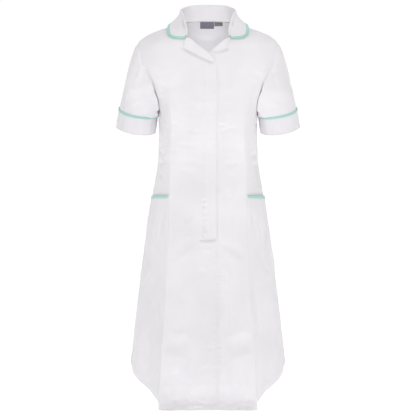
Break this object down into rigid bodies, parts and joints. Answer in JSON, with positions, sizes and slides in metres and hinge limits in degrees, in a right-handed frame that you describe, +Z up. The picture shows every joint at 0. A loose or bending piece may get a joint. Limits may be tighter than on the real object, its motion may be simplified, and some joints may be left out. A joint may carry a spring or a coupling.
{
  "type": "nurse uniform dress",
  "caption": "White short-sleeved nurse uniform dress with mint trims, open collar, front seams, side pockets and a concealed front closing, hollow as worn.",
  "frame": {"origin": "middle of the wearer's shoulders, level with the middle of the shoulder seams: where the worn dress is held", "axes": "+Z up along the wearer, -Y out of the dress's front, +X to the wearer's left"},
  "size_m": [0.509, 0.3252, 1.0917],
  "materials": {
    "white_cloth": "matt woven polycotton",
    "mint_trim": "matt woven trim",
    "label_grey": "woven label",
    "label_black": "woven tab"
  },
  "bodies": {
    "root": {"centre_front_right": "white_cloth", "centre_front_left": "white_cloth", "fly_placket": "white_cloth", "side_front_right": "white_cloth", "side_front_left": "white_cloth", "pocket_skirt_right": "white_cloth", "pocket_skirt_left": "white_cloth", "pocket_trim_right": "mint_trim", "pocket_trim_left": "mint_trim", "centre_back": "white_cloth", "side_back_right": "white_cloth", "side_back_left": "white_cloth", "sleeve_right": "white_cloth", "sleeve_left": "white_cloth", "cuff_right": "white_cloth", "cuff_left": "white_cloth", "cuff_trim_right": "mint_trim", "cuff_trim_left": "mint_trim", "collar": "white_cloth", "collar_trim": "mint_trim", "revere_right": "white_cloth", "revere_left": "white_cloth", "neck_label": "label_grey", "size_tab": "label_black"}
  },
  "joints": []
}
